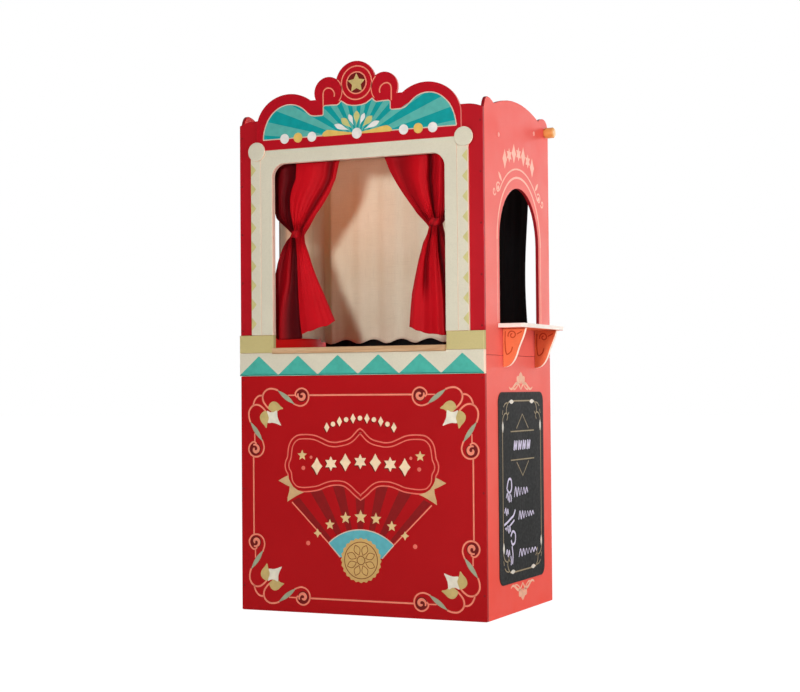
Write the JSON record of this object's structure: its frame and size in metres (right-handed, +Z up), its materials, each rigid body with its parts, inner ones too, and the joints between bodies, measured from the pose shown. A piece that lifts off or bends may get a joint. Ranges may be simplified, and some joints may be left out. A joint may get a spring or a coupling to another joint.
{
  "type": "puppet theater stand",
  "caption": "Children's puppet theater stand: painted panels, curtained stage opening, scrolled crest, arched side windows, side shelf and chalkboard.",
  "frame": {"origin": "middle of the lower front panel's bottom edge, halfway through the panel's thickness, on the floor", "axes": "+Z up, +X to the audience's right along the front, +Y from the audience towards the puppeteer"},
  "size_m": [0.7986, 0.494, 1.4308],
  "materials": {
    "red_paint": "satin red paint on board",
    "coral_paint": "satin coral paint on board",
    "cream_paint": "satin cream paint on board",
    "gold_paint": "flat gold paint on board",
    "orange_paint": "satin orange paint on board",
    "bare_wood": "clear-lacquered light wood",
    "chalkboard": "matt chalkboard face",
    "red_cloth": "plain woven polyester",
    "beige_cloth": "unbleached calico",
    "black_cloth": "matt blackout cloth",
    "steel": "drawn steel rod"
  },
  "bodies": {
    "stand": {"lower_front_panel": "red_paint", "upper_front_panel": "red_paint", "crest_board": "red_paint", "counter_fascia": "cream_paint", "left_corner_block": "gold_paint", "right_corner_block": "gold_paint", "proscenium_frame": "cream_paint", "left_pilaster": "cream_paint", "right_pilaster": "cream_paint", "left_finial_disc": "cream_paint", "right_finial_disc": "cream_paint", "stage_board": "bare_wood", "counter_rail": "bare_wood", "left_corner_post": "bare_wood", "right_corner_post": "bare_wood", "left_lower_side_panel": "coral_paint", "right_lower_side_panel": "coral_paint", "left_upper_side_panel": "coral_paint", "right_upper_side_panel": "coral_paint", "left_splice_batten": "bare_wood", "right_splice_batten": "bare_wood", "rear_stretcher": "bare_wood", "side_shelf": "cream_paint", "front_shelf_bracket": "orange_paint", "rear_shelf_bracket": "orange_paint", "chalkboard": "chalkboard", "front_tie_rail": "bare_wood", "rear_tie_rail": "bare_wood", "left_front_rail_cap": "coral_paint", "right_front_rail_cap": "coral_paint", "left_rear_rail_cap": "coral_paint", "right_rear_rail_cap": "coral_paint", "curtain_rod": "steel", "left_rod_socket": "bare_wood", "right_rod_socket": "bare_wood", "backdrop_rail": "steel", "backdrop_rail_block": "bare_wood", "backdrop_cloth": "beige_cloth"},
    "left_curtain_set": {"left_curtain": "red_cloth", "left_tie_band": "red_cloth"},
    "right_curtain_set": {"right_curtain": "red_cloth", "right_tie_band": "red_cloth"},
    "rear_rod_set": {"rear_rod": "bare_wood", "left_rod_knob": "bare_wood", "right_rod_knob": "bare_wood"},
    "blackout_set": {"blackout_cloth": "black_cloth"}
  },
  "joints": [
    {"name": "left_curtain_slide", "type": "slide", "parent": "stand", "child": "left_curtain_set", "axis": [1, 0, 0], "range_m": [-0.04, 0.055]},
    {"name": "right_curtain_slide", "type": "slide", "parent": "stand", "child": "right_curtain_set", "axis": [1, 0, 0], "range_m": [-0.055, 0.04]},
    {"name": "rear_rod_turn", "type": "hinge", "parent": "stand", "child": "rear_rod_set", "pos_m": [0, 0.4505, 1.28], "axis": [1, 0, 0], "continuous": true},
    {"name": "blackout_slide", "type": "slide", "parent": "stand", "child": "blackout_set", "axis": [1, 0, 0], "range_m": [-0.01, 0.035]}
  ]
}
